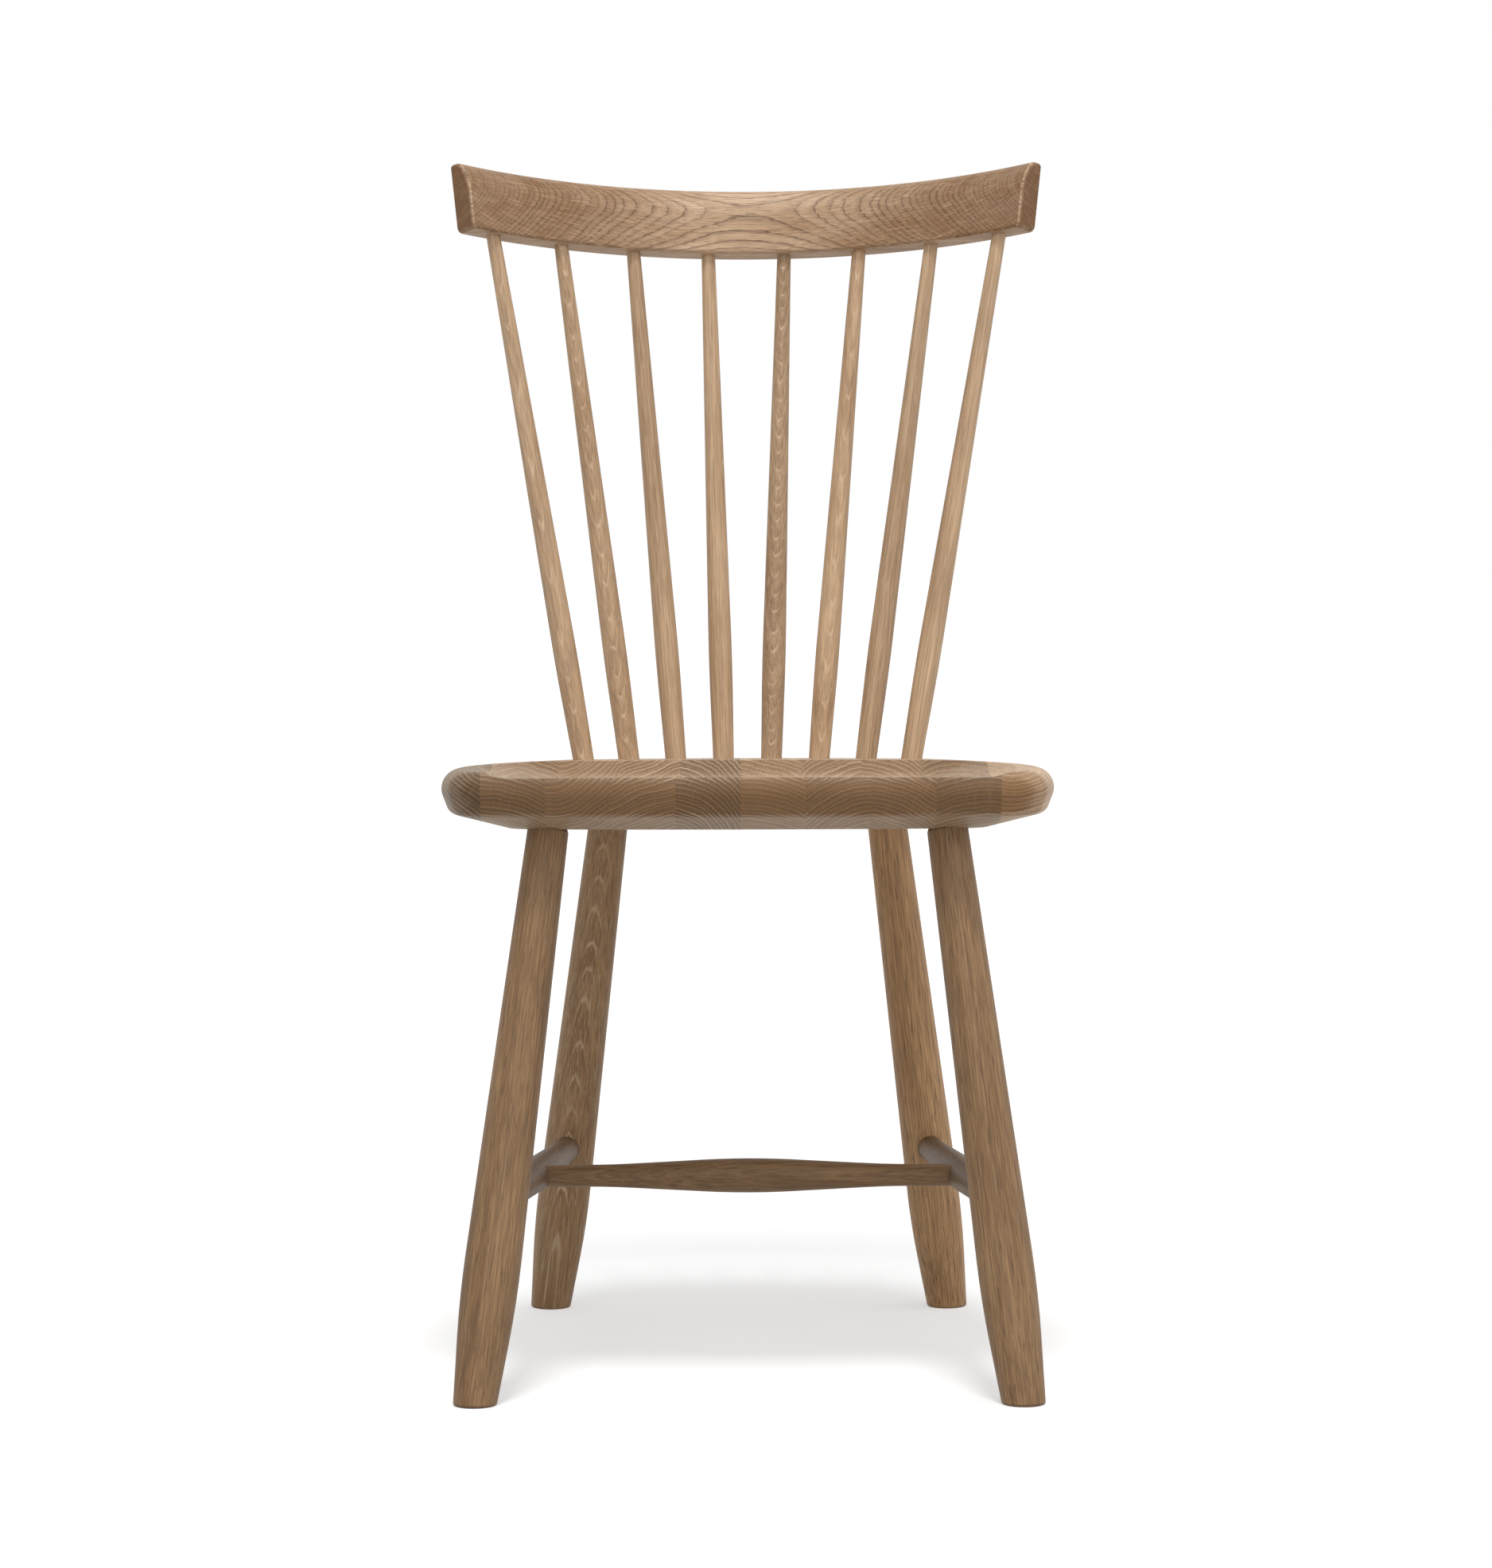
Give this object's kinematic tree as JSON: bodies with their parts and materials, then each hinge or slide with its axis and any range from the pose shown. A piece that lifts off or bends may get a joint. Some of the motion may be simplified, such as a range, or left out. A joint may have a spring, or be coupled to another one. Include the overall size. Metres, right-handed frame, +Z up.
{
  "type": "windsor chair",
  "caption": "Armless wooden dining chair with a dished solid seat, raked turned legs joined by an H stretcher, and slender spindles under a curved crest rail.",
  "frame": {"origin": "on the floor, under the middle of the chair's overall width and depth", "axes": "+Z up, +X to the right across the seat as seen from the front, and the sitter faces -Y"},
  "size_m": [0.4538, 0.5079, 0.8904],
  "materials": {
    "oak_seat": "oiled oak, satin, glued staves of slightly different tone",
    "oak_legs": "oiled oak, satin, turned",
    "oak_stretchers": "oiled oak, satin, turned",
    "oak_spindles": "oiled oak, satin, turned",
    "oak_crest": "oiled oak, satin, sawn and moulded"
  },
  "bodies": {
    "root": {"seat_stave_1": "oak_seat", "seat_stave_2": "oak_seat", "seat_stave_3": "oak_seat", "seat_stave_4": "oak_seat", "seat_stave_5": "oak_seat", "seat_stave_6": "oak_seat", "seat_stave_7": "oak_seat", "seat_stave_8": "oak_seat", "seat_stave_9": "oak_seat", "seat_stave_10": "oak_seat", "front_leg_left": "oak_legs", "rear_leg_left": "oak_legs", "front_leg_right": "oak_legs", "rear_leg_right": "oak_legs", "side_stretcher_left": "oak_stretchers", "side_stretcher_right": "oak_stretchers", "cross_stretcher": "oak_stretchers", "spindle_1": "oak_spindles", "spindle_2": "oak_spindles", "spindle_3": "oak_spindles", "spindle_4": "oak_spindles", "spindle_5": "oak_spindles", "spindle_6": "oak_spindles", "spindle_7": "oak_spindles", "spindle_8": "oak_spindles", "crest_rail": "oak_crest"}
  },
  "joints": []
}
